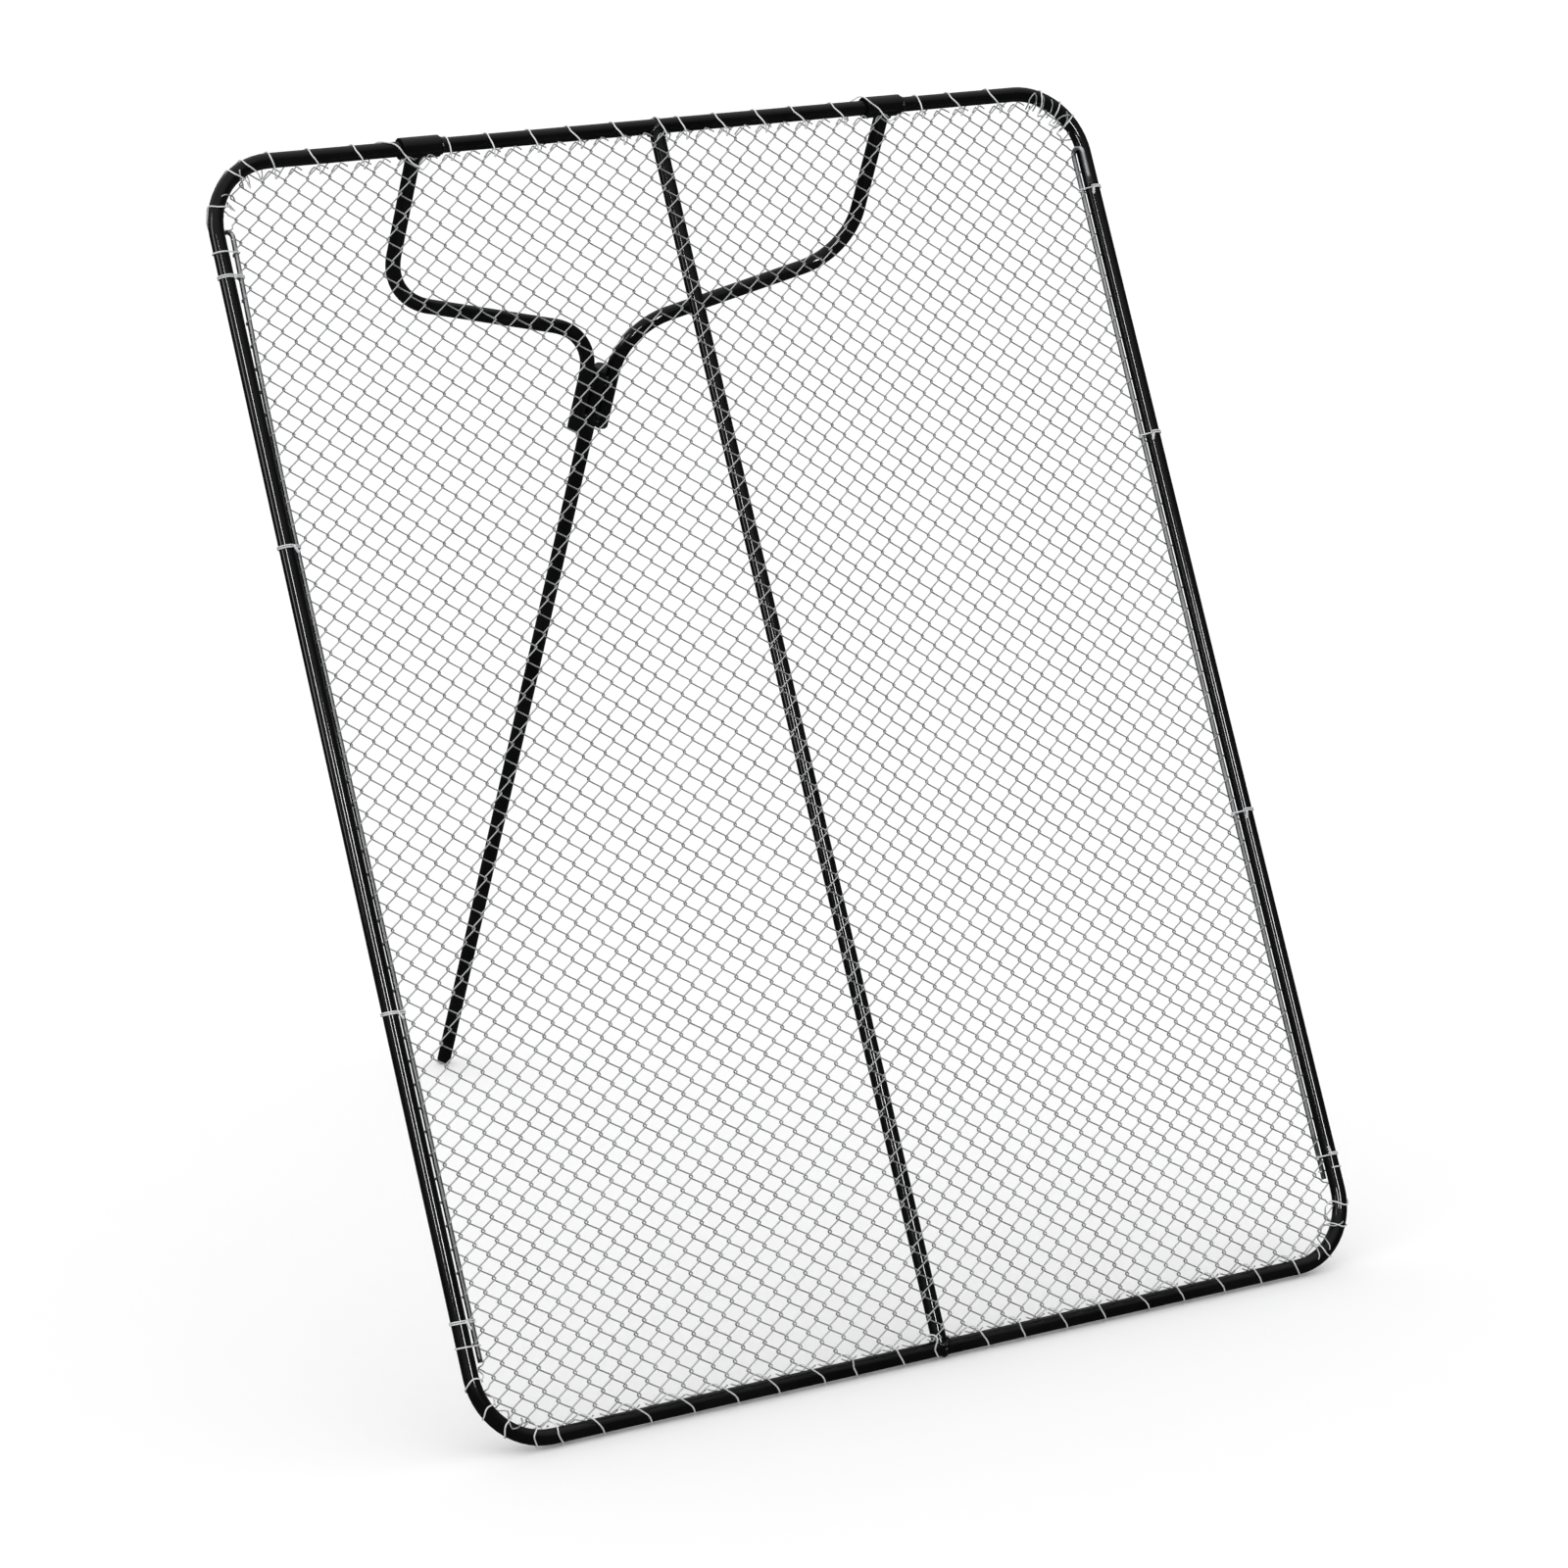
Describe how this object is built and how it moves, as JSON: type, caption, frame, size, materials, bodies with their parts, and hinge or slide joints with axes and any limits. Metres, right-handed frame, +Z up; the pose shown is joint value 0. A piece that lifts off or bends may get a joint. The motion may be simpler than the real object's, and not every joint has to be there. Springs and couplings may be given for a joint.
{
  "type": "standing soil screen",
  "caption": "Upright chain-link screen laced into a round-cornered tube frame with a centre post, leaning back on a folding rear stand hinged on the top rail.",
  "frame": {"origin": "middle of the footprint's bounding box, on the floor", "axes": "+X to the right seen from the front, +Y to the rear, where the stand is, +Z up; the net faces -Y"},
  "size_m": [0.803, 0.8453, 0.907],
  "materials": {
    "black_coat": "gloss powder coat",
    "galvanised_mesh": "galvanised",
    "galvanised_rod": "galvanised",
    "galvanised_wire": "galvanised",
    "black_plug": "satin"
  },
  "bodies": {
    "screen": {"frame_left_half": "black_coat", "frame_right_half": "black_coat", "frame_seam_top": "black_coat", "frame_seam_bottom": "black_coat", "centre_post": "black_coat", "post_weld_top": "black_coat", "post_weld_bottom": "black_coat", "sleeve_stop_left": "black_coat", "sleeve_stop_right": "black_coat", "chain_link_net": "galvanised_mesh", "edge_rod_left": "galvanised_rod", "edge_rod_right": "galvanised_rod", "rod_ties_left": "galvanised_wire", "rod_ties_right": "galvanised_wire", "lacing_top": "galvanised_wire", "lacing_bottom": "galvanised_wire", "corner_lacing_top_left": "galvanised_wire", "corner_lacing_top_right": "galvanised_wire", "corner_lacing_bottom_left": "galvanised_wire", "corner_lacing_bottom_right": "galvanised_wire"},
    "stand": {"hinge_sleeve_left": "black_coat", "hinge_sleeve_right": "black_coat", "stand_arm_left": "black_coat", "stand_arm_right": "black_coat", "arm_weld_left": "black_coat", "arm_weld_right": "black_coat", "stand_leg": "black_coat", "leg_weld_beads": "black_coat", "leg_top_plug": "black_plug", "foot_plug": "black_plug", "arm_plug_left": "black_plug", "arm_plug_right": "black_plug"}
  },
  "joints": [
    {"name": "stand_hinge", "type": "hinge", "parent": "screen", "child": "stand", "pos_m": [0, 0.01699, 0.89651], "axis": [1, 0, 0], "range_deg": [-46.9, 130]}
  ]
}
